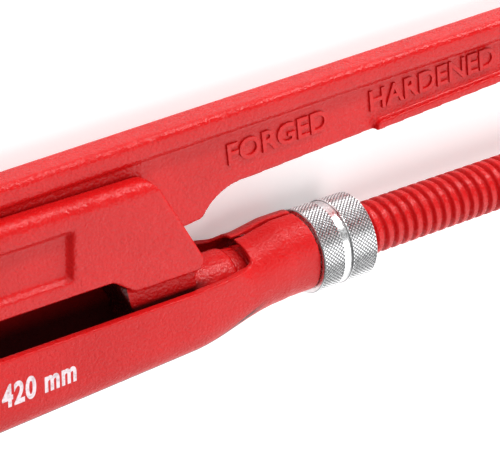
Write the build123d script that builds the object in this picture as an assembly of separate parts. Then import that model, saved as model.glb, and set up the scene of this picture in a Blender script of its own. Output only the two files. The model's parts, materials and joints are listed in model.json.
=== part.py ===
from build123d import *
from math import cos, pi, radians, tan
import os

os.makedirs("parts", exist_ok=True)

# A pipe wrench with a forged I-beam handle, a forged threaded leg, a pressed guide
# channel and a knurled adjusting nut. +X runs along the threaded bar to the handle
# ends, +Y from the threaded bar to the I-beam handle, +Z out of the flat of the tool.
# Sizes are given with X = 0 just inside the nut and Y = Z = 0 on the bar's axis;
# everything is moved at the end so the origin is the bottom centre of the whole tool.

# ---- overall sizes, mm ----
HANDLE_END_X = 214.0      # ends of both handles
HANDLE_RISE = 1.7         # degrees, slope of the upper handle's top edge
HANDLE_TAPER = 3.7        # degrees, slope of its bottom edge
FORK_TOP = 46.4           # top edge of the fork, the closed handle rests just above it
HANDLE_TOP = FORK_TOP + 13.0      # height of the handle's top edge at X = 0
HANDLE_BOTTOM = FORK_TOP - 11.4   # height of its bottom edge at X = 0
PIVOT_X = -150.0          # rivet
PIVOT_Y = -4.0
MOUTH_GAP = 9.0           # between the jaws as stored

# ---- threaded bar ----
BAR_R = 9.0
PITCH = 4.0
THREAD_DEPTH = 1.5
NECK_R = BAR_R + 1.0
THREAD_X0 = -30.5
THREAD_X1 = 112.0
GRIP_R = BAR_R - 0.3

# ---- clearances ----
TURN_FIT = 0.1            # radial, nut sleeve in the tube and leg on the rivet
CREST_GAP = 0.15          # radial, thread crest in the nut
SIDE_GAP = 0.3            # leg boss inside the channel walls, each side
SLOT_GAP = 0.4            # web in the fork slot, each side
END_GAP = 0.3             # nut face to tube end
FORK_GAP = 0.7            # fork inside the channel walls, each side

# ---- sheet channel ----
WALL = 3.0
FORK_HALF = 11.5          # half the fork's width, it runs between the walls
INNER_HALF = FORK_HALF + FORK_GAP
CHANNEL_HALF = INNER_HALF + WALL
WALL_TOP = 6.7
FLOOR_SLOPE = 0.053
FLOOR_Y = -NECK_R - 3.5 - WALL   # outside of the floor where the tube neck begins
NECKING_X = -48.0
SLEEVE_WALL = 1.55
SLEEVE_R = BAR_R + CREST_GAP + SLEEVE_WALL
TUBE_R = SLEEVE_R + TURN_FIT + 1.8
TUBE_END_X = -2.6
LIP_TOP = TUBE_R + 2.4     # the rolled lips stand proud along the seam
LIP_X0 = -27.0            # they rise from here
LIP_X1 = -12.0            # to here
WINDOW_X = -27.6
FLOOR_FRONT_X = -128.0
EAR_R = 16.5
FAR_WALL_RISE = 2.2       # the far wall beside the window is left higher
SLIT_Z = -0.35            # middle of the seam
SLIT_FRONT = 1.8          # seam width at the window and at the nut
SLIT_REAR = 1.3
NECK_END_X = -14.0        # behind here the tube is straight
NECK_STEPS = 8

# ---- nut ----
NUT_R = BAR_R + 5.4
NUT_LENGTH = 21.2
SLEEVE_END_X = -22.0
LIP_R = SLEEVE_R + 0.8
LIP = 1.5
GROOVE_X0 = TUBE_END_X + 8.4
GROOVE_X1 = GROOVE_X0 + 3.7
GROOVE_DEPTH = 0.8

# ---- fork of the lower leg ----
FORK_BOTTOM = 12.3
CUTOUT_TOP = 17.6
SLOT_FLOOR = 23.4
SLOT_FRONT_X = -186.0
FORK_ROUND = 4.5
POCKET_DEPTH = 2.0
HOOK_THICK = 28.0
HOOK_BOTTOM = -43.0

# ---- upper leg ----
WEB_HALF = 3.7
FLANGE_HALF = 6.0
FLANGE_HIGH = 7.6
RIM_HIGH = 2.75
RIM_X = 26.0
BOSS_R = 14.5
BOSS_HALF = INNER_HALF - SIDE_GAP
JAW_X = PIVOT_X - 18.0
JAW_BOTTOM = -42.0
LOBE_Y = SLOT_FLOOR + 0.6
HANG_R = 5.0

# ---- rivet ----
PIN_R = 6.0
RIVET_HEAD_R = 8.2
SINK = 2.0

# ---- teeth ----
TOOTH_PITCH = 3.4
TOOTH_DEPTH = 1.3
TOOTH_COUNT = 8


def top_y(x):
    return HANDLE_TOP + x * tan(radians(HANDLE_RISE))


def bottom_y(x):
    return HANDLE_BOTTOM + x * tan(radians(HANDLE_TAPER))


def floor_y(x):
    return FLOOR_Y + (x - NECKING_X) * FLOOR_SLOPE


def plate(points, z0, z1):
    face = make_face(Polyline(*points, close=True))
    return Pos(0, 0, z0) * extrude(face, z1 - z0)


def slab(points, half):
    return plate(points, -half, half)


def round_corners(solid, spots, radius):
    for spot in spots:
        edge = solid.edges().filter_by(Axis.Z).sort_by_distance((spot[0], spot[1], 0))[0]
        solid = fillet(edge, radius)
    return solid


def bar(x0, x1, radius):
    return Pos(x0, 0, 0) * Rot(0, 90, 0) * Cylinder(
        radius, x1 - x0, align=(Align.CENTER, Align.CENTER, Align.MIN)
    )


def hull_section(x, half, low, high, corner):
    at = Plane(origin=(x, 0, 0), x_dir=(0, 0, 1), z_dir=(-1, 0, 0))
    return at * Pos(0, (low + high) / 2) * RectangleRounded(2 * half, high - low, corner)


def tooth_cuts(face_x, low_y, side, half):
    """V notches in a jaw face; side is +1 where the jaw body lies at larger X."""
    cuts = []
    for i in range(TOOTH_COUNT):
        y = low_y + i * TOOTH_PITCH
        notch = slab(
            [
                (face_x - side * 0.2, y),
                (face_x - side * 0.2, y + TOOTH_PITCH * 0.9),
                (face_x + side * TOOTH_DEPTH, y + TOOTH_PITCH * 0.25),
            ],
            half + 1,
        )
        cuts.append(notch)
    return cuts


# ---- guide channel: one pressing, open trough in front, closed round into a tube behind ----
def blend(a, b, t):
    return a + (b - a) * (1 - cos(pi * t)) / 2


def lip_top(x):
    t = min(1.0, max(0.0, (x - LIP_X0) / (LIP_X1 - LIP_X0)))
    return blend(TUBE_R, LIP_TOP, t)


def channel_outside():
    high = CHANNEL_HALF + 0.8
    far = FLOOR_FRONT_X - 20
    sections = [hull_section(far, CHANNEL_HALF, floor_y(far), high, 9.5)]
    start = NECKING_X - 6
    for i in range(NECK_STEPS + 1):
        t = i / NECK_STEPS
        x = start + (NECK_END_X - start) * t
        half = blend(CHANNEL_HALF, TUBE_R + 0.25, t)
        low = blend(floor_y(start), -TUBE_R - 0.25, t)
        top = high if x < LIP_X0 - 6 else lip_top(x)
        sections.append(hull_section(x, half, low, top, blend(9.5, TUBE_R - 0.05, t)))
    for x in (LIP_X1, TUBE_END_X):
        sections.append(hull_section(x, TUBE_R, -TUBE_R, LIP_TOP, TUBE_R - 0.3))
    return loft(sections, ruled=True)


def channel_inside():
    high = CHANNEL_HALF + 6
    far = FLOOR_FRONT_X - 30
    sections = [hull_section(far, INNER_HALF, floor_y(far) + WALL, high, 6.5)]
    start = NECKING_X - 6
    steps = NECK_STEPS - 2
    cavity = LIP_R + 0.35
    for i in range(steps + 1):
        t = i / steps
        x = start + (SLEEVE_END_X - start) * t
        half = blend(INNER_HALF, cavity, t)
        low = blend(floor_y(start) + WALL, -cavity, t)
        top = blend(high, cavity, min(1, t * 1.25))
        sections.append(hull_section(x, half, low, top, blend(6.5, cavity - 0.25, t)))
    return loft(sections, ruled=True)


def ear_plate(z0, z1):
    ear = Pos(PIVOT_X, PIVOT_Y) * Circle(EAR_R)
    tail = Pos(FLOOR_FRONT_X + 4, (WALL_TOP - 11) / 2) * Rectangle(8, WALL_TOP + 11)
    outline = make_hull(ear.edges() + tail.edges())
    return Pos(0, 0, z0) * extrude(outline, z1 - z0)


def window_cutter():
    low = -400
    near = [
        (low, WALL_TOP),
        (-52, WALL_TOP),
        (-38, WALL_TOP + 0.5),
        (WINDOW_X - 1.6, WALL_TOP + 0.9),
        (WINDOW_X - 0.4, WALL_TOP + 1.3),
        (WINDOW_X, WALL_TOP + 2.2),
        (WINDOW_X + 0.6, 40),
        (low, 40),
    ]
    far = [
        (low, WALL_TOP),
        (-62, WALL_TOP),
        (-50, WALL_TOP + FAR_WALL_RISE),
        (WINDOW_X - 3, WALL_TOP + FAR_WALL_RISE),
        (WINDOW_X, WALL_TOP + FAR_WALL_RISE + 1.6),
        (WINDOW_X + 1.2, 40),
        (low, 40),
    ]
    return plate(near, 0, 40) + plate(far, -40, 0)


def end_cutter():
    """Cuts the rolled lips back at the nut end, where the blank's corners were rounded."""
    points = [
        (TUBE_END_X, 4),
        (TUBE_END_X - 1.0, 12),
        (TUBE_END_X - 2.0, LIP_TOP - 0.7),
        (TUBE_END_X - 3.2, LIP_TOP + 1),
        (TUBE_END_X + 9, LIP_TOP + 1),
        (TUBE_END_X + 9, 4),
    ]
    return slab(points, 40)


def seam_slit():
    front = SLIT_FRONT / 2
    rear = SLIT_REAR / 2
    points = [(WINDOW_X - 5, -front), (1, -rear), (1, rear), (WINDOW_X - 5, front)]
    return Pos(0, LIP_TOP, SLIT_Z) * Rot(90, 0, 0) * slab(points, 5.5)


def rivet_sink(z):
    side = 1 if z > 0 else -1
    cone = Cone(PIN_R, RIVET_HEAD_R, SINK)
    if side < 0:
        cone = Rot(180, 0, 0) * cone
    return Pos(PIVOT_X, PIVOT_Y, side * (CHANNEL_HALF - SINK / 2)) * cone


def guide_channel():
    body = channel_outside() - channel_inside()
    body -= bar(SLEEVE_END_X - 1, 10, SLEEVE_R + TURN_FIT)
    body -= window_cutter()
    nose = slab([(-400, -60), (FLOOR_FRONT_X, -60), (FLOOR_FRONT_X, 60), (-400, 60)], 40)
    body -= nose
    body -= seam_slit()
    body -= end_cutter()
    for z0, z1 in ((INNER_HALF, CHANNEL_HALF), (-CHANNEL_HALF, -INNER_HALF)):
        body += ear_plate(z0, z1)
    body -= Pos(PIVOT_X, PIVOT_Y, 0) * Cylinder(PIN_R, 60)
    body -= rivet_sink(1)
    body -= rivet_sink(-1)
    return body


def pivot_rivet():
    pin = Pos(PIVOT_X, PIVOT_Y, 0) * Cylinder(PIN_R, 2 * CHANNEL_HALF)
    return pin + rivet_sink(1) + rivet_sink(-1)


def leaf_spring():
    path = [
        (-121, floor_y(-121) + WALL + 0.05),
        (-104, floor_y(-104) + WALL + 0.05),
        (-70, -NECK_R - 1.9),
        (-64, -NECK_R - 1.5),
        (-58, -NECK_R - 1.5),
        (-52, -NECK_R - 2.3),
    ]
    upper = [(x, y + 1.0) for x, y in reversed(path)]
    return slab(path + upper, 4.5)


# ---- adjusting nut: knurled head, thin sleeve held in the tube by a rolled lip ----
def adjusting_nut():
    x0 = TUBE_END_X + END_GAP
    x1 = x0 + NUT_LENGTH
    bore = BAR_R + CREST_GAP
    outline = [
        (SLEEVE_END_X - 0.3 - LIP, bore),
        (SLEEVE_END_X - 0.3 - LIP, LIP_R),
        (SLEEVE_END_X - 0.3, LIP_R),
        (SLEEVE_END_X - 0.3, SLEEVE_R),
        (x0, SLEEVE_R),
        (x0, NUT_R - 1.1),
        (x0 + 0.9, NUT_R),
        (GROOVE_X0, NUT_R),
        (GROOVE_X0 + GROOVE_DEPTH, NUT_R - GROOVE_DEPTH),
        (GROOVE_X1 - GROOVE_DEPTH, NUT_R - GROOVE_DEPTH),
        (GROOVE_X1, NUT_R),
        (x1 - 1.0, NUT_R),
        (x1, NUT_R - 1.0),
        (x1, bore + 1.0),
        (x1 - 1.0, bore),
    ]
    face = make_face(Polyline(*outline, close=True))
    return revolve(face, Axis.X)


# ---- lower leg: hooked jaw, fork, round neck, threaded bar, grip ----
def thread_ridge():
    length = THREAD_X1 - THREAD_X0 - 4
    root = BAR_R - THREAD_DEPTH
    spiral = Helix(pitch=PITCH, height=length, radius=root)
    half_root = 0.37 * PITCH
    half_crest = 0.17 * PITCH
    shape = Polyline(
        (root - 0.3, 0, -half_root),
        (BAR_R, 0, -half_crest),
        (BAR_R, 0, half_crest),
        (root - 0.3, 0, half_root),
        close=True,
    )
    ridge = sweep(make_face(shape), path=spiral, is_frenet=True)
    return Pos(THREAD_X0 + 2, 0, 0) * Rot(0, 90, 0) * ridge


def hook_x():
    return JAW_X - MOUTH_GAP


def fork_blank():
    face_x = hook_x()
    front = face_x - HOOK_THICK
    right = NECKING_X + 2.8
    tip = (front + 8, HOOK_BOTTOM)
    points = [
        (right, FORK_BOTTOM),
        (right, FORK_BOTTOM + 4),
        (right - 15.3, FORK_TOP),
        (front, FORK_TOP),
        (front, -6),
        tip,
        (face_x, HOOK_BOTTOM),
        (face_x, CUTOUT_TOP),
        (-77, CUTOUT_TOP),
        (-70, FORK_BOTTOM),
    ]
    solid = slab(points, FORK_HALF)
    solid = round_corners(solid, [(front, FORK_TOP)], 30)
    solid = round_corners(solid, [(face_x, CUTOUT_TOP)], 11)
    solid = round_corners(solid, [(front, -6)], 14)
    solid = round_corners(solid, [tip], 6)
    solid = round_corners(solid, [(right - 15.3, FORK_TOP)], 7)
    solid = round_corners(solid, [(right, FORK_BOTTOM), (-77, CUTOUT_TOP), (-70, FORK_BOTTOM)], 3)
    rounded = hull_section(right + 5, FORK_HALF, HOOK_BOTTOM - 20, FORK_TOP, FORK_ROUND)
    return solid & extrude(rounded, HANDLE_END_X * 2)


def pocket(side):
    left = PIVOT_X - 12
    points = [(left, 22.3), (-90.3, 22.3), (-88.6, 39.0), (left, 38.5)]
    face = make_face(Polyline(*points, close=True))
    cut = extrude(face, POCKET_DEPTH + 1, taper=40)
    cut = mirror(cut, Plane.XY)
    cut = Pos(0, 0, FORK_HALF) * cut
    keep = Pos(-120, 30, FORK_HALF + 5 - POCKET_DEPTH) * Box(120, 60, 10)
    cut = cut & keep
    if side < 0:
        cut = mirror(cut, Plane.XY)
    return cut


def fork_slot():
    half = WEB_HALF + SLOT_GAP
    front = SLOT_FRONT_X + half
    upper = plate([(front, SLOT_FLOOR), (0, SLOT_FLOOR), (0, 80), (front, 80)], -half, half)
    lower = plate([(front, 0), (-79.5, 0), (-79.5, 80), (front, 80)], -half, half)
    end = Pos(front, 40, 0) * Rot(90, 0, 0) * Cylinder(half, 80)
    return upper + lower + end


def lower_leg():
    fork = fork_blank()
    fork -= fork_slot()
    fork -= pocket(1)
    fork -= pocket(-1)
    for cut in tooth_cuts(hook_x(), HOOK_BOTTOM + 4, -1, FORK_HALF):
        fork -= cut
    shoulder = slab([(-68, 0), (-48, 0), (-47, FORK_BOTTOM + 1), (-75, FORK_BOTTOM + 3)], 9.6)
    neck = bar(-68, THREAD_X0, NECK_R)
    neck = fillet(neck.edges().sort_by(Axis.X)[-1], 2.2)
    core = bar(THREAD_X0, THREAD_X1, BAR_R - THREAD_DEPTH)
    grip = bar(THREAD_X1, HANDLE_END_X, GRIP_R)
    grip = chamfer(grip.edges().sort_by(Axis.X)[0], 1.2)
    grip = fillet(grip.edges().sort_by(Axis.X)[-1], 4.5)
    leg = fork + shoulder + neck + core + grip
    return leg + thread_ridge()


# ---- upper leg: I-beam handle, web through the fork, boss on the rivet, jaw ----
def web_outline():
    end = HANDLE_END_X
    lines = [
        Line((-135, top_y(-135) - 1), (end - 11, top_y(end - 11))),
        ThreePointArc(
            (end - 11, top_y(end - 11)),
            (end, (top_y(end - 6) + bottom_y(end - 6)) / 2),
            (end - 11, bottom_y(end - 11)),
        ),
        Line((end - 11, bottom_y(end - 11)), (-23, bottom_y(-23))),
        ThreePointArc((-23, bottom_y(-23)), (-32.6, 31.6), (-39.6, 25.6)),
        ThreePointArc((-39.6, 25.6), (-40.7, 24.85), (-42, LOBE_Y + 0.6)),
        Line((-42, LOBE_Y + 0.6), (-47, LOBE_Y)),
        Line((-47, LOBE_Y), (-125.5, LOBE_Y)),
        ThreePointArc((-125.5, LOBE_Y), (-132.5, 19.5), (PIVOT_X + 14, 8)),
        Line((PIVOT_X + 14, 8), (PIVOT_X, -6)),
        Line((PIVOT_X, -6), (PIVOT_X - 14, 4)),
        ThreePointArc((PIVOT_X - 14, 4), (PIVOT_X - 9, 37), (-135, top_y(-135) - 1)),
    ]
    return make_face(lines)


def flange_strip(x0, x1, high):
    return [(x0, top_y(x0) - high), (x1, top_y(x1) - high), (x1, top_y(x1)), (x0, top_y(x0))]


def handle_flanges():
    end = HANDLE_END_X - 9
    top = slab(flange_strip(-136, end, FLANGE_HIGH), FLANGE_HALF)
    top = fillet(top.edges().filter_by(Axis.Z).sort_by(Axis.X)[0:2], 3.4)
    crowns = [e for e in top.edges() if e.length > 300 and e.center().Y > top_y(e.center().X) - 1]
    top = fillet(crowns, 2.6)
    x0 = RIM_X
    rim = slab(
        [
            (x0, bottom_y(x0)),
            (end, bottom_y(end)),
            (end, bottom_y(end) + RIM_HIGH),
            (x0, bottom_y(x0) + RIM_HIGH),
        ],
        FLANGE_HALF,
    )
    rim = round_corners(rim, [(x0, bottom_y(x0) + RIM_HIGH)], 2.4)
    return top + rim


def upper_jaw_block():
    points = [
        (JAW_X, -9),
        (JAW_X, JAW_BOTTOM),
        (PIVOT_X - 1, JAW_BOTTOM),
        (PIVOT_X + BOSS_R - 2, -12),
        (PIVOT_X, 2),
        (PIVOT_X - 13, 0),
    ]
    block = slab(points, FORK_HALF)
    return round_corners(block, [(PIVOT_X - 1, JAW_BOTTOM)], 6)


def upper_leg():
    web = Pos(0, 0, -WEB_HALF) * extrude(web_outline(), 2 * WEB_HALF)
    leg = web + handle_flanges()
    leg += Pos(PIVOT_X, PIVOT_Y, 0) * Cylinder(BOSS_R, 2 * BOSS_HALF)
    leg += upper_jaw_block()
    for cut in tooth_cuts(JAW_X, JAW_BOTTOM + 3, 1, FORK_HALF):
        leg -= cut
    leg -= Pos(PIVOT_X, PIVOT_Y, 0) * Cylinder(PIN_R + TURN_FIT, 60)
    hang_x = HANDLE_END_X - 11
    hole = Pos(hang_x, (top_y(hang_x) + bottom_y(hang_x)) / 2, 0)
    leg += hole * Cylinder(HANG_R + 4, 2 * FLANGE_HALF)
    leg -= hole * Cylinder(HANG_R, 60)
    print("hang hole", hole.position)
    return leg


nodes = {
    "guide_channel": guide_channel(),
    "pivot_rivet": pivot_rivet(),
    "leaf_spring": leaf_spring(),
    "adjusting_nut": adjusting_nut(),
    "lower_leg": lower_leg(),
    "upper_leg": upper_leg(),
}

whole = Compound(children=[Part() + s for s in nodes.values()]).bounding_box()
shift = Pos(-(whole.min.X + whole.max.X) / 2, -(whole.min.Y + whole.max.Y) / 2, -whole.min.Z)
print("origin shift", shift.position)

for name, solid in nodes.items():
    placed = shift * solid
    solids = placed.solids()
    print(name, len(solids), "solids", round(placed.volume), "mm3", placed.is_valid)
    export_step(solids[0] if len(solids) == 1 else placed, "parts/" + name + ".step")
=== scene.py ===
import json
import math

import bmesh
import bpy
from mathutils import Matrix, Vector


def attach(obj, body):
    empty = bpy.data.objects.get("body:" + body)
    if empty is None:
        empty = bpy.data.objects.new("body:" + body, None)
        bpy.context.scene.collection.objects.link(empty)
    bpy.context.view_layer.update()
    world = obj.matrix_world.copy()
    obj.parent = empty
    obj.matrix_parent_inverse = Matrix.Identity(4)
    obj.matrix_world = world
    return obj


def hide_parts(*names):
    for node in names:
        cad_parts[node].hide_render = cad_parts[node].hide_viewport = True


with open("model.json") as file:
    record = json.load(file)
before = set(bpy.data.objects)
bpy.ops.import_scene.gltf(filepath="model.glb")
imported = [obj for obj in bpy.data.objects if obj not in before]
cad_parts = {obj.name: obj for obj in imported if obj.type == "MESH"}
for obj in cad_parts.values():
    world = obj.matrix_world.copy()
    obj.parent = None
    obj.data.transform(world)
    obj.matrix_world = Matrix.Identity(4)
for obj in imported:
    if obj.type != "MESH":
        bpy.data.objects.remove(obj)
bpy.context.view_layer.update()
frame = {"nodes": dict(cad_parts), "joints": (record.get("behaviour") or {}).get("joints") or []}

# ---- guide channel ----------------------------------------------------------
# One steel pressing: an open trough in front, rolled round into a tube behind
# with an open seam on top. Powder coated red, with painted shade inside the trough.
MM = 0.001
RED = (0.475, 0.0062, 0.0068)
# Painted shade colour for the inside of the trough.
TROUGH_SHADE = (0.05, 0.005, 0.005)
TROUGH_SIDE = 12.3
TROUGH_MOUTH = 6.6
NECKING_X = -48.0
FLOOR_SLOPE = 0.053

scene = bpy.context.scene
pivot = next(j for j in frame["joints"] if j["name"] == "handle_pivot")
# Tool datum: on the threaded bar's axis, 150 mm behind the rivet.
datum = Vector(pivot["pos_m"]) + Vector((150.0, 4.0, 0.0)) * MM


def at(x, y, z):
    """A point given in millimetres from the tool datum."""
    return datum + Vector((x, y, z)) * MM


def local(point):
    return (point - datum) / MM


def finish_mesh(name, mesh, material, body, replaced=(), smooth=True):
    mesh.name = name
    mesh.materials.clear()
    mesh.materials.append(material)
    if smooth:
        mesh.shade_smooth()
    else:
        mesh.shade_flat()
    obj = bpy.data.objects.new(name, mesh)
    scene.collection.objects.link(obj)
    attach(obj, body)
    if replaced:
        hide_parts(*replaced)


def bm_to_mesh(name, bm):
    mesh = bpy.data.meshes.new(name)
    bm.to_mesh(mesh)
    bm.free()
    return mesh


def node_bm(node):
    bm = bmesh.new()
    bm.from_mesh(frame["nodes"][node].data)
    bmesh.ops.remove_doubles(bm, verts=bm.verts, dist=1e-6)
    return bm


def forged(name, bm, voxel, rounds, keep):
    """Softens every edge the way a forging or pressing has it, under a coat of powder."""
    start = bm_to_mesh(name + "_blank", bm)
    holder = bpy.data.objects.new(name + "_blank", start)
    scene.collection.objects.link(holder)
    skin = holder.modifiers.new("skin", "REMESH")
    skin.mode = "VOXEL"
    skin.voxel_size = voxel * MM
    relax = holder.modifiers.new("relax", "SMOOTH")
    relax.factor = 0.5
    relax.iterations = rounds
    thin = holder.modifiers.new("thin", "DECIMATE")
    thin.ratio = keep
    depsgraph = bpy.context.evaluated_depsgraph_get()
    mesh = bpy.data.meshes.new_from_object(holder.evaluated_get(depsgraph))
    bpy.data.objects.remove(holder)
    bpy.data.meshes.remove(start)
    return mesh


def new_group(name, inputs, outputs):
    tree = bpy.data.node_groups.new(name, "ShaderNodeTree")
    for label, kind, value in inputs:
        socket = tree.interface.new_socket(label, in_out="INPUT", socket_type=kind)
        socket.default_value = value
    for label, kind in outputs:
        tree.interface.new_socket(label, in_out="OUTPUT", socket_type=kind)
    return tree, tree.nodes.new("NodeGroupInput"), tree.nodes.new("NodeGroupOutput")


def object_coord(tree):
    return tree.nodes.new("ShaderNodeTexCoord").outputs["Object"]


def noise_node(tree, coord, scale, detail):
    node = tree.nodes.new("ShaderNodeTexNoise")
    node.inputs["Scale"].default_value = scale
    node.inputs["Detail"].default_value = detail
    tree.links.new(coord, node.inputs["Vector"])
    return node.outputs["Fac"]


def math_node(tree, kind, a, b=None):
    node = tree.nodes.new("ShaderNodeMath")
    node.operation = kind
    for socket, value in zip(node.inputs, (a, b)):
        if isinstance(value, (int, float)):
            socket.default_value = value
        elif value is not None:
            tree.links.new(value, socket)
    return node.outputs["Value"]


def range_node(tree, value, low, high, to_low=0.0, to_high=1.0):
    node = tree.nodes.new("ShaderNodeMapRange")
    node.interpolation_type = "SMOOTHSTEP"
    node.inputs["From Min"].default_value = low
    node.inputs["From Max"].default_value = high
    node.inputs["To Min"].default_value = to_low
    node.inputs["To Max"].default_value = to_high
    tree.links.new(value, node.inputs["Value"])
    return node.outputs["Result"]


def tone_node(tree, value, low, low_colour, high, high_colour):
    """Two colours, blended between two levels of a pattern."""
    ramp = tree.nodes.new("ShaderNodeValToRGB")
    ends = ((low, low_colour), (high, high_colour))
    for end, (position, colour) in zip(ramp.color_ramp.elements, ends):
        end.position = position
        end.color = (*colour, 1)
    tree.links.new(value, ramp.inputs["Fac"])
    return ramp.outputs["Color"]


def tool_axes(tree):
    """The surface point in millimetres from the tool datum, as x, y and z."""
    shift = tree.nodes.new("ShaderNodeMapping")
    shift.inputs["Location"].default_value = -datum / MM
    shift.inputs["Scale"].default_value = (1 / MM, 1 / MM, 1 / MM)
    tree.links.new(object_coord(tree), shift.inputs["Vector"])
    axes = tree.nodes.new("ShaderNodeSeparateXYZ")
    tree.links.new(shift.outputs["Vector"], axes.inputs["Vector"])
    return axes.outputs["X"], axes.outputs["Y"], axes.outputs["Z"]


def all_of(tree, *masks):
    """Multiplies masks, so that the result is 1 only where all of them are."""
    total = masks[0]
    for mask in masks[1:]:
        total = math_node(tree, "MULTIPLY", total, mask)
    return total


def colour_where(mat, mask, colour):
    """Lays a second colour over the material's own where the mask is 1."""
    tree = mat.node_tree
    base = tree.nodes["Principled BSDF"].inputs["Base Color"]
    mix = tree.nodes.new("ShaderNodeMix")
    mix.data_type = "RGBA"
    # A colour Mix keeps its two colours on inputs 6 and 7 and its result on output 2.
    mix.inputs[7].default_value = (*colour, 1)
    tree.links.new(mask, mix.inputs[0])
    tree.links.new(base.links[0].from_socket, mix.inputs[6])
    tree.links.new(mix.outputs[2], base)


# Powder coat: fine orange peel, a slow swell under it, and a slight mottle of tone.
peel, peel_in, peel_out = new_group(
    "powder_peel",
    [("Peel", "NodeSocketFloat", 0.5), ("Swell", "NodeSocketFloat", 0.3)],
    [
        ("Normal", "NodeSocketVector"),
        ("Mottle", "NodeSocketFloat"),
        ("Gloss", "NodeSocketFloat"),
    ],
)
peel_coord = object_coord(peel)
swell_bump = peel.nodes.new("ShaderNodeBump")
swell_bump.inputs["Distance"].default_value = 0.9 * MM
peel.links.new(noise_node(peel, peel_coord, 260.0, 2.0), swell_bump.inputs["Height"])
peel.links.new(peel_in.outputs["Swell"], swell_bump.inputs["Strength"])
peel_bump = peel.nodes.new("ShaderNodeBump")
peel_bump.inputs["Distance"].default_value = 0.35 * MM
peel.links.new(noise_node(peel, peel_coord, 1100.0, 2.5), peel_bump.inputs["Height"])
peel.links.new(peel_in.outputs["Peel"], peel_bump.inputs["Strength"])
peel.links.new(swell_bump.outputs["Normal"], peel_bump.inputs["Normal"])
peel.links.new(peel_bump.outputs["Normal"], peel_out.inputs["Normal"])
peel.links.new(noise_node(peel, peel_coord, 45.0, 5.0), peel_out.inputs["Mottle"])
gloss = range_node(peel, noise_node(peel, peel_coord, 600.0, 2.0), 0.3, 0.7, 0.14, 0.26)
peel.links.new(gloss, peel_out.inputs["Gloss"])


def powder_coat(name, tint, peel_depth, swell_depth, matte, shine):
    mat = bpy.data.materials.new(name)
    mat.use_nodes = True
    tree = mat.node_tree
    shader = tree.nodes["Principled BSDF"]
    coat = tree.nodes.new("ShaderNodeGroup")
    coat.node_tree = peel
    coat.inputs["Peel"].default_value = peel_depth
    coat.inputs["Swell"].default_value = swell_depth
    darker = (tint[0] * 0.93, tint[1] * 0.9, tint[2] * 0.9)
    lighter = (tint[0] * 1.05, tint[1] * 1.08, tint[2] * 1.08)
    tone = tone_node(tree, coat.outputs["Mottle"], 0.3, darker, 0.7, lighter)
    tree.links.new(tone, shader.inputs["Base Color"])
    roughness = math_node(tree, "ADD", coat.outputs["Gloss"], matte)
    tree.links.new(roughness, shader.inputs["Roughness"])
    tree.links.new(coat.outputs["Normal"], shader.inputs["Normal"])
    shader.inputs["Specular IOR Level"].default_value = shine
    return mat


pressing_red = powder_coat(
    "pressing_red", RED, peel_depth=1.0, swell_depth=0.06, matte=0.13, shine=0.165
)
# Painted shade: a dark brown over the red inside the trough, where shade falls.
# The outside of its floor, which slopes and then rises into the tube, stays red.
tree = pressing_red.node_tree
x, y, z = tool_axes(tree)
between_walls = range_node(tree, math_node(tree, "ABSOLUTE", z), TROUGH_SIDE + 0.4, TROUGH_SIDE)
below_mouth = range_node(tree, y, TROUGH_MOUTH, -3.0)
ahead_of_tube = range_node(tree, x, -22.0, -32.0)
slope = math_node(tree, "MULTIPLY", math_node(tree, "SUBTRACT", x, NECKING_X), FLOOR_SLOPE)
rise = range_node(tree, x, NECKING_X - 4.0, -24.0, -15.0, -10.5)
over_floor = math_node(tree, "SUBTRACT", math_node(tree, "SUBTRACT", y, rise), slope)
over_floor = range_node(tree, over_floor, 0.0, 0.6)
inside = all_of(tree, between_walls, below_mouth, ahead_of_tube, over_floor)
colour_where(pressing_red, inside, TROUGH_SHADE)

finish_mesh(
    "guide_channel_pressing",
    forged("channel", node_bm("guide_channel"), voxel=0.42, rounds=2, keep=0.45),
    pressing_red,
    "channel",
    ["guide_channel"],
)

# ---- printed size -----------------------------------------------------------
# The tool's length, in white ink pad-printed on the channel's flat side after
# the powder coat. The ink is a hair thick and a little uneven.
SIDE = 15.2
CAP_HEIGHT = 0.73

ink = bpy.data.materials.new("white_ink")
ink.use_nodes = True
tree = ink.node_tree
shader = tree.nodes["Principled BSDF"]
blots = noise_node(tree, object_coord(tree), 900.0, 3.0)
tone = tone_node(tree, blots, 0.35, (0.46, 0.36, 0.38), 0.55, (0.66, 0.55, 0.58))
tree.links.new(tone, shader.inputs["Base Color"])
shader.inputs["Roughness"].default_value = 0.5


def lettering(name, words, high, thick, bold, bevel=0.0, lean=0.0, gap=1.0):
    """Block letters as a mesh, their baseline running along +X from the origin."""
    text = bpy.data.curves.new(name, "FONT")
    text.body = words
    text.size = high / CAP_HEIGHT * MM
    text.offset = bold * MM
    text.shear = lean
    text.space_character = gap
    text.extrude = thick * MM
    text.bevel_depth = bevel * MM
    text.bevel_resolution = 1
    text.resolution_u = 6
    holder = bpy.data.objects.new(name, text)
    scene.collection.objects.link(holder)
    depsgraph = bpy.context.evaluated_depsgraph_get()
    mesh = bpy.data.meshes.new_from_object(holder.evaluated_get(depsgraph))
    bpy.data.objects.remove(holder)
    return mesh


def placed(mesh, where, slope, squeeze=1.0, stretch=1.0):
    """Squeezes letters along their line, tilts the line and stretches it along X."""
    mesh.transform(
        Matrix.Translation(where)
        @ Matrix.Diagonal((stretch, 1, 1, 1))
        @ Matrix.Rotation(math.radians(slope), 4, "Z")
        @ Matrix.Diagonal((squeeze, 1, 1, 1))
    )
    return mesh


size_mark = lettering("size_mark", "420 mm", 7.2, thick=0.02, bold=0.36, lean=0.15, gap=1.12)
size_mark = placed(size_mark, at(-119.3, -8.2, SIDE), slope=2.0, squeeze=0.7)
finish_mesh("printed_size", size_mark, ink, "channel", smooth=False)

# ---- rivet and leaf spring --------------------------------------------------
# The rivet is plain steel, peened over on both walls of the channel. The flat
# spring is blued spring steel, held on the trough's floor under the neck.


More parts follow.
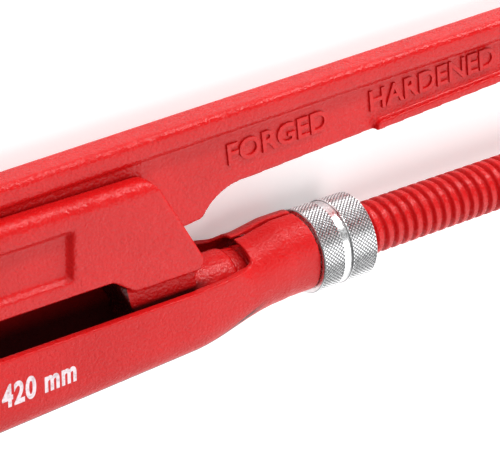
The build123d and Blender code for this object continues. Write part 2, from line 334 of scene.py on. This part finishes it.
def bare_steel(name, tint, low, high, scratch):
    mat = bpy.data.materials.new(name)
    mat.use_nodes = True
    tree = mat.node_tree
    shader = tree.nodes["Principled BSDF"]
    coord = object_coord(tree)
    grain = noise_node(tree, coord, scratch, 5.0)
    tree.links.new(range_node(tree, grain, 0.3, 0.7, low, high), shader.inputs["Roughness"])
    stains = noise_node(tree, coord, 120.0, 4.0)
    tone = tone_node(tree, stains, 0.3, [c * 0.85 for c in tint], 0.7, tint)
    tree.links.new(tone, shader.inputs["Base Color"])
    bump = tree.nodes.new("ShaderNodeBump")
    bump.inputs["Strength"].default_value = 0.25
    bump.inputs["Distance"].default_value = 0.1 * MM
    tree.links.new(grain, bump.inputs["Height"])
    tree.links.new(bump.outputs["Normal"], shader.inputs["Normal"])
    shader.inputs["Metallic"].default_value = 1.0
    return mat


def paint_node(node, mat):
    obj = frame["nodes"][node]
    obj.data.materials.clear()
    obj.data.materials.append(mat)


rivet_steel = bare_steel("rivet_steel", (0.58, 0.57, 0.56), 0.3, 0.5, 1400.0)
blued_steel = bare_steel("blued_steel", (0.08, 0.09, 0.12), 0.25, 0.4, 900.0)
paint_node("pivot_rivet", rivet_steel)
paint_node("leaf_spring", blued_steel)

# ---- lower leg --------------------------------------------------------------
# A drop forging: hooked jaw, two-cheek fork and round neck. The bar behind the
# neck is threaded and ends in a plain grip. All powder coated red.
# Painted shade colour for the fork's underside in the trough.
FORK_SHADE_BROWN = (0.045, 0.003, 0.003)
BAR_R = 9.0
GRIP_R = BAR_R - 0.3
BAR_END = 214.0
END_ROUND = 5.0
PITCH = 4.0
THREAD_DEPTH = 1.5
THREAD_X0, THREAD_X1 = -30.5, 112.0
ROWS_PER_PITCH = 14
FORK_BOTTOM = 6.6
CUTOUT_TOP = 16.5

coat = {"peel_depth": 0.9, "swell_depth": 0.25, "matte": 0.05, "shine": 0.2}
forging_red = powder_coat("forging_red", RED, **coat)
# A copy of the red that also carries painted shade under the fork.
forging_red_shaded = powder_coat("forging_red_shaded", RED, **coat)

# Painted shade: the fork's underside, down in the trough, is coloured dark brown.
tree = forging_red_shaded.node_tree
x, y, z = tool_axes(tree)
inner_faces = range_node(tree, math_node(tree, "ABSOLUTE", z), 11.2, 10.6)
edge = range_node(tree, x, -70.5, -73.0, FORK_BOTTOM, CUTOUT_TOP)
underside = range_node(tree, math_node(tree, "SUBTRACT", y, edge), 0.9, -0.9)
ahead_of_neck = range_node(tree, x, -38.0, -50.0)
behind_web = range_node(tree, x, -84.0, -80.0)
shaded_fork = all_of(tree, inner_faces, underside, ahead_of_neck, behind_web)
colour_where(forging_red_shaded, shaded_fork, FORK_SHADE_BROWN)

leg = node_bm("lower_leg")
bmesh.ops.bisect_plane(
    leg,
    geom=leg.verts[:] + leg.edges[:] + leg.faces[:],
    plane_co=at(THREAD_X0 + 1.2, 0, 0),
    plane_no=(1, 0, 0),
    clear_outer=True,
)
bmesh.ops.holes_fill(leg, edges=[e for e in leg.edges if e.is_boundary])
finish_mesh(
    "lower_leg_forging",
    forged("lower_leg", leg, voxel=0.55, rounds=3, keep=0.42),
    forging_red_shaded,
    "lower_leg",
    ["lower_leg"],
)


def spun(profile, steps):
    """Turns a line of (x, radius) points about the bar's axis into a closed skin."""
    bm = bmesh.new()
    verts = [bm.verts.new(at(x, r, 0)) for x, r in profile]
    edges = [bm.edges.new(pair) for pair in zip(verts, verts[1:])]
    bmesh.ops.spin(
        bm,
        geom=verts + edges,
        cent=datum,
        axis=(1, 0, 0),
        angle=2 * math.pi,
        steps=steps,
        use_merge=True,
    )
    bmesh.ops.remove_doubles(bm, verts=bm.verts, dist=1e-7)
    return bm


def ease(t):
    t = min(1.0, max(0.0, t))
    return t * t * (3 - 2 * t)


def thread_radius(x, angle):
    """Rounded crests, as a thread has them once it is coated."""
    turn = (x - THREAD_X0) / PITCH - angle / (2 * math.pi)
    groove = abs(turn - math.floor(turn) - 0.5) * 2
    depth = THREAD_DEPTH * ease((groove - 0.42) / 0.42)
    fade = ease((x - THREAD_X0 - 1) / 3) * ease((THREAD_X1 - x) / 2)
    return BAR_R - depth * fade


step = PITCH / ROWS_PER_PITCH
count = int((THREAD_X1 - THREAD_X0 + 1.5) / step)
bar_profile = [(THREAD_X0 - 2, 0.0), (THREAD_X0 - 2, BAR_R)]
bar_profile += [(THREAD_X0 - 1.5 + i * step, BAR_R) for i in range(count)]
bar_profile += [(THREAD_X1 + 0.4, BAR_R), (THREAD_X1 + 1.0, GRIP_R)]
bar_profile += [(x, GRIP_R) for x in (120.0, 150.0, 180.0)]
for i in range(9):
    a = i / 8 * math.pi / 2
    x = BAR_END - END_ROUND * (1 - math.sin(a))
    bar_profile.append((x, GRIP_R - END_ROUND * (1 - math.cos(a))))
bar_profile.append((BAR_END, 0.0))
bar = spun(bar_profile, 72)
for v in bar.verts:
    p = local(v.co)
    r = math.hypot(p.y, p.z)
    if THREAD_X0 - 1 < p.x < THREAD_X1 and r > 1:
        k = thread_radius(p.x, math.atan2(p.z, p.y)) / r
        v.co = at(p.x, p.y * k, p.z * k)
bmesh.ops.recalc_face_normals(bar, faces=bar.faces)
bar = bm_to_mesh("bar", bar)
finish_mesh("threaded_bar", bar, forging_red, "lower_leg", ["lower_leg"])

# ---- upper leg --------------------------------------------------------------
# A drop forging: I-beam handle, web through the fork, boss on the rivet and the
# second jaw. The words on the web are raised in the die. Powder coated red.
WEB_FACE = 3.7
WORD_HEIGHT = 7.1
WORD_SLOPE = 3.2
WORDS = (
    ("raised_word_left", "FORGED", -30.5, 40.0, 38.5),
    ("raised_word_right", "HARDENED", 24.0, 43.2, 52.5),
)

finish_mesh(
    "upper_leg_forging",
    forged("upper_leg", node_bm("upper_leg"), voxel=0.5, rounds=3, keep=0.5),
    forging_red,
    "upper_leg",
    ["upper_leg"],
)
for name, words, x, y, length in WORDS:
    word = lettering(name, words, WORD_HEIGHT, thick=0.55, bold=0.13, bevel=0.1)
    wide = max(v.co.x for v in word.vertices) / MM
    word = placed(word, at(x, y, WEB_FACE), WORD_SLOPE, stretch=length / wide)
    finish_mesh(name, word, forging_red, "upper_leg", smooth=False)

# ---- adjusting nut ----------------------------------------------------------
# Turned steel, bright plated, with two diamond-knurled bands and a plain groove
# between them. Its sleeve turns inside the tube and is held there by a lip.
NUT_R = 14.4
NUT_X0, NUT_X1 = -2.3, 18.9
NUT_BORE_R = 9.15
SLEEVE_R, SLEEVE_END = 10.7, -22.3
LIP_R, LIP_END = 11.5, -23.8
GROOVE_R = NUT_R - 0.8
KNURL_DEPTH = 0.4
KNURL_TURNS = 64
FRONT_BAND, REAR_BAND = (-1.9, 5.7), (9.5, 18.5)
# Painted shade colour for the knurl's valleys.
VALLEY_SHADE = (0.2, 0.2, 0.205)

plate = bare_steel("bright_plate", (0.93, 0.93, 0.94), 0.22, 0.34, 1600.0)
# Painted shade: the valleys between the knurl's points are coloured grey.
tree = plate.node_tree
x, y, z = tool_axes(tree)
squares = math_node(tree, "ADD", math_node(tree, "POWER", y, 2.0), math_node(tree, "POWER", z, 2.0))
radius = math_node(tree, "SQRT", squares)
valley = range_node(tree, radius, NUT_R - 0.5 * KNURL_DEPTH, NUT_R - 0.85 * KNURL_DEPTH)
knurled = range_node(tree, radius, NUT_R - 1.25 * KNURL_DEPTH, NUT_R - 1.1 * KNURL_DEPTH)
colour_where(plate, all_of(tree, valley, knurled), VALLEY_SHADE)

row = math.pi * NUT_R / KNURL_TURNS
band_rows = []
for low, high in (FRONT_BAND, REAR_BAND):
    rows = round((high - low) / row)
    band_rows.append([low + (high - low) * i / rows for i in range(rows + 1)])
front_rows, rear_rows = band_rows
nut_profile = [(LIP_END, NUT_BORE_R), (LIP_END, LIP_R), (SLEEVE_END, LIP_R)]
nut_profile += [(SLEEVE_END, SLEEVE_R), (NUT_X0, SLEEVE_R)]
nut_profile += [(NUT_X0, NUT_R - 0.5), (FRONT_BAND[0] - 0.1, NUT_R - 0.1)]
nut_profile += [(x, NUT_R) for x in front_rows]
nut_profile += [(FRONT_BAND[1] + 0.2, NUT_R - 0.2), (FRONT_BAND[1] + 0.5, GROOVE_R)]
nut_profile += [(REAR_BAND[0] - 0.95, GROOVE_R), (REAR_BAND[0] - 0.2, NUT_R - 0.05)]
nut_profile += [(x, NUT_R) for x in rear_rows]
nut_profile += [(NUT_X1 - 0.3, NUT_R - 0.1), (NUT_X1, NUT_R - 0.4)]
nut_profile += [(NUT_X1, 10.2), (NUT_X1 - 1.0, NUT_BORE_R), nut_profile[0]]
nut = spun(nut_profile, 2 * KNURL_TURNS)

# Every second point of the bands' grid is pushed in, which leaves the diamonds.
pushed_in = {}
for v in nut.verts:
    p = local(v.co)
    r = math.hypot(p.y, p.z)
    if r < NUT_R - 0.01:
        continue
    for xs in band_rows:
        if xs[0] - 0.01 < p.x < xs[-1] + 0.01:
            i = round((p.x - xs[0]) / (xs[1] - xs[0]))
            j = round(math.atan2(p.z, p.y) / (math.pi / KNURL_TURNS))
            pushed_in[v] = (i + j) % 2 == 1
            if pushed_in[v]:
                k = (NUT_R - KNURL_DEPTH) / r
                v.co = at(p.x, p.y * k, p.z * k)
for face in list(nut.faces):
    if len(face.verts) != 4 or any(v not in pushed_in for v in face.verts):
        continue
    valleys = [v for v in face.verts if pushed_in[v]]
    if len(valleys) == 2:
        bmesh.utils.face_split(face, valleys[0], valleys[1])
bmesh.ops.recalc_face_normals(nut, faces=nut.faces)
nut = bm_to_mesh("nut", nut)
finish_mesh("knurled_nut", nut, plate, "nut", ["adjusting_nut"], smooth=False)

# ---- floor, light and camera ------------------------------------------------
# A pale bench under a large overhead softbox, with a fill on the left, a low
# strip behind the handle and a low fill in front. The room itself is white.
FLOOR_WHITE = 0.95
FLOOR_GLOW = 0.24
ROOM_LIGHT = 0.25

bench = bmesh.new()
bmesh.ops.create_grid(bench, x_segments=1, y_segments=1, size=12)
floor = bpy.data.objects.new("floor", bm_to_mesh("floor", bench))
scene.collection.objects.link(floor)
floor_white = bpy.data.materials.new("floor_white")
floor_white.use_nodes = True
tree = floor_white.node_tree
floor_shader = tree.nodes["Principled BSDF"]
floor_shader.inputs["Base Color"].default_value = (FLOOR_WHITE, FLOOR_WHITE, FLOOR_WHITE, 1)
floor_shader.inputs["Roughness"].default_value = 0.9
# The bench glows faintly for the eye alone, so its shadows stay pale.
seen = tree.nodes.new("ShaderNodeLightPath").outputs["Is Camera Ray"]
glow = range_node(tree, seen, 0.0, 1.0, 0.0, FLOOR_GLOW)
tree.links.new(glow, floor_shader.inputs["Emission Color"])
floor_shader.inputs["Emission Strength"].default_value = 1.0
floor.data.materials.append(floor_white)

# The room reads as white, but lights the tool only dimly.
world = bpy.data.worlds.new("studio")
scene.world = world
world.use_nodes = True
tree = world.node_tree
backdrop = tree.nodes["Background"]
backdrop.inputs["Color"].default_value = (1, 1, 1, 1)
seen = tree.nodes.new("ShaderNodeLightPath").outputs["Is Camera Ray"]
tree.links.new(range_node(tree, seen, 0.0, 1.0, ROOM_LIGHT, 1.0), backdrop.inputs["Strength"])
scene.view_settings.view_transform = "Standard"


def turned(right, up, back):
    """A rotation whose columns are an object's right, up and back directions."""
    return Matrix((right, up, back)).transposed().to_4x4()


def softbox(name, offset, wide, high, power):
    """A rectangular light facing the tool, its long side level with the tool's X."""
    light = bpy.data.lights.new(name, "AREA")
    light.shape = "RECTANGLE"
    light.size = wide
    light.size_y = high
    light.energy = power
    obj = bpy.data.objects.new(name, light)
    scene.collection.objects.link(obj)
    away = Vector(offset).normalized()
    level = (Vector((1, 0, 0)) - away * away.x).normalized()
    where = at(-20, 20, 0) + Vector(offset)
    obj.matrix_world = Matrix.Translation(where) @ turned(level, away.cross(level), away)


softbox("front_overhead", (0.45, -0.45, 0.85), wide=1.5, high=1.5, power=17.5)
softbox("back_left", (-0.4, 0.75, 0.6), wide=1.0, high=0.9, power=6.2)
softbox("low_strip_behind", (0.58, 0.95, 0.28), wide=1.2, high=0.12, power=14.0)
softbox("front_low", (0.15, -0.95, 0.3), wide=1.5, high=0.5, power=2.4)

lens = bpy.data.cameras.new("camera")
lens.sensor_width = 36.0
lens.lens = 144.0
lens.clip_start = 0.01
lens.clip_end = 50
camera = bpy.data.objects.new("camera", lens)
scene.collection.objects.link(camera)
scene.camera = camera
turn, tilt, roll = math.radians(29.0), math.radians(30.0), math.radians(18.6)
back = Vector((
    -math.sin(turn),
    math.cos(turn) * math.sin(tilt),
    math.cos(turn) * math.cos(tilt),
))
along = (Vector((1, 0, 0)) - back * back.x).normalized()
across = back.cross(along)
right = along * math.cos(roll) - across * math.sin(roll)
up = along * math.sin(roll) + across * math.cos(roll)
camera.matrix_world = Matrix.Translation(at(-327.834, 291.402, 479.776)) @ turned(right, up, back)
